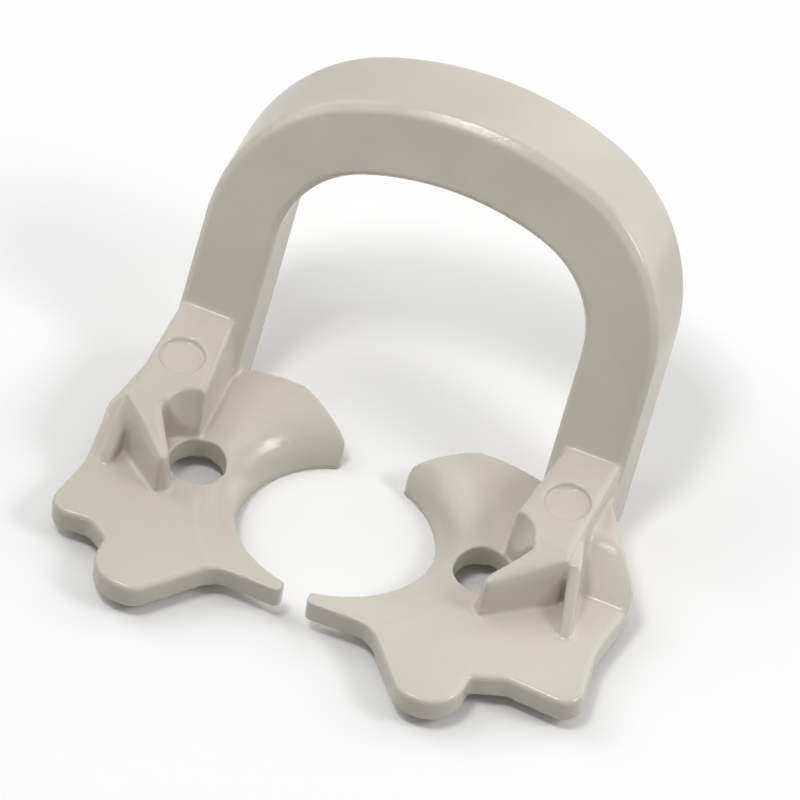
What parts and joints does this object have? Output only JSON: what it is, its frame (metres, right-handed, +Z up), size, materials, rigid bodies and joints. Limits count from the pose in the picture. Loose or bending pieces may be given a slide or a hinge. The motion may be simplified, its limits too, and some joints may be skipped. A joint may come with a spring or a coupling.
{
  "type": "rubber dam clamp",
  "caption": "One-piece moulded rubber dam clamp: winged jaw plates with prongs and curved cups close round a tooth recess, joined by a leaning spring bow.",
  "frame": {"origin": "on the tooth axis, at the level of the gripping lips and of the bow's heels", "axes": "+Z up along the tooth axis, +X across the jaws towards the long wing, +Y towards the bow"},
  "size_m": [0.0209, 0.0197, 0.0125],
  "materials": {
    "body": "satin, as moulded"
  },
  "bodies": {
    "root": {"clamp": "body"}
  },
  "joints": []
}
